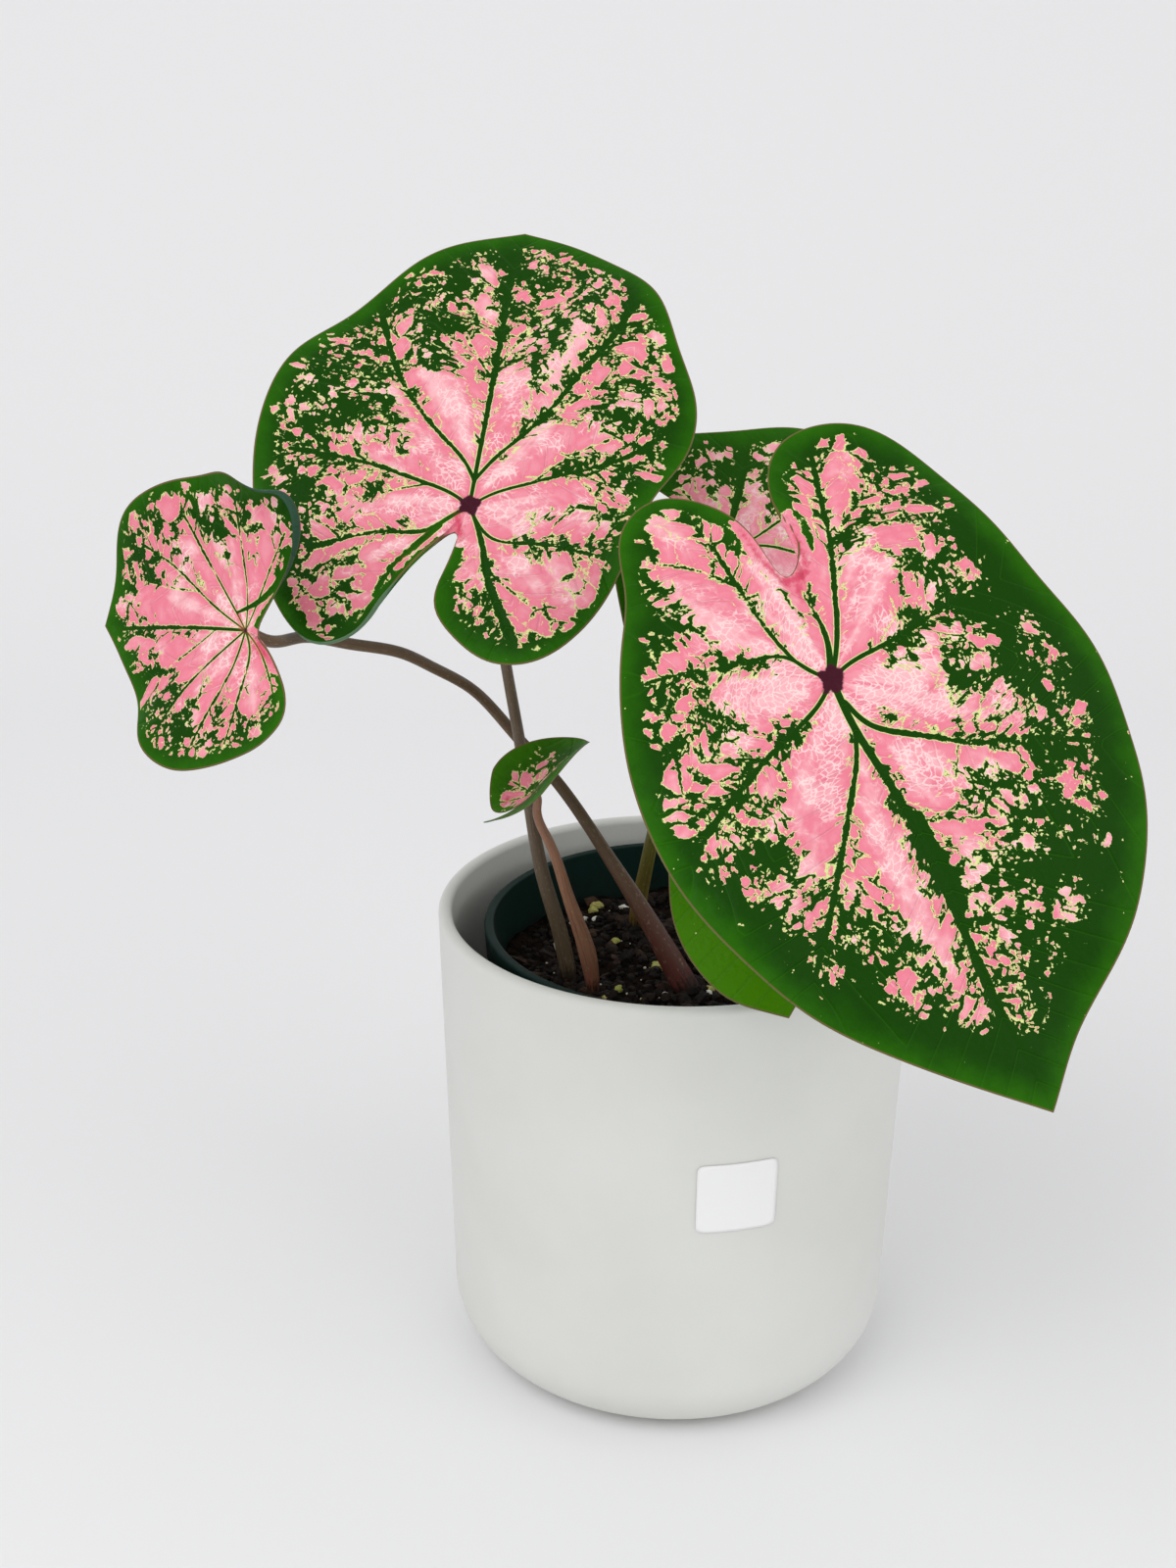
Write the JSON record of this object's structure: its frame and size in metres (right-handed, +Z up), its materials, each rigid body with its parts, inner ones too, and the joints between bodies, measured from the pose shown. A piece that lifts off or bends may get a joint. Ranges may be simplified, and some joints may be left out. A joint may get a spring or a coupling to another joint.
{
  "type": "potted caladium",
  "caption": "Caladium with pink and green heart-shaped leaves on slender stalks, in soil in a nursery pot inside a tapered round cover pot.",
  "frame": {"origin": "middle of the cover pot's underside, on the surface it stands on", "axes": "+Z up; -Y towards the side the leaves face; +X to the right as seen from there"},
  "size_m": [0.2628, 0.2346, 0.3463],
  "materials": {
    "pot_ceramic": "matt off-white glaze",
    "nursery_plastic": "dark green thin moulded plastic",
    "potting_soil": "dark loose potting mix",
    "label_paper": "plain white sticker",
    "leaf_stalk": "smooth olive brown stalk",
    "leaf_blade": "pink leaf with green veins and margin",
    "young_leaf_blade": "green leaf with a few pink flecks"
  },
  "bodies": {
    "root": {"cover_pot": "pot_ceramic", "nursery_pot": "nursery_plastic", "soil": "potting_soil", "label": "label_paper", "petiole_right": "leaf_stalk", "petiole_centre": "leaf_stalk", "petiole_left": "leaf_stalk", "petiole_back": "leaf_stalk", "petiole_young": "leaf_stalk", "blade_right": "leaf_blade", "blade_centre": "leaf_blade", "blade_left": "leaf_blade", "blade_back": "leaf_blade", "blade_young": "young_leaf_blade"}
  },
  "joints": []
}
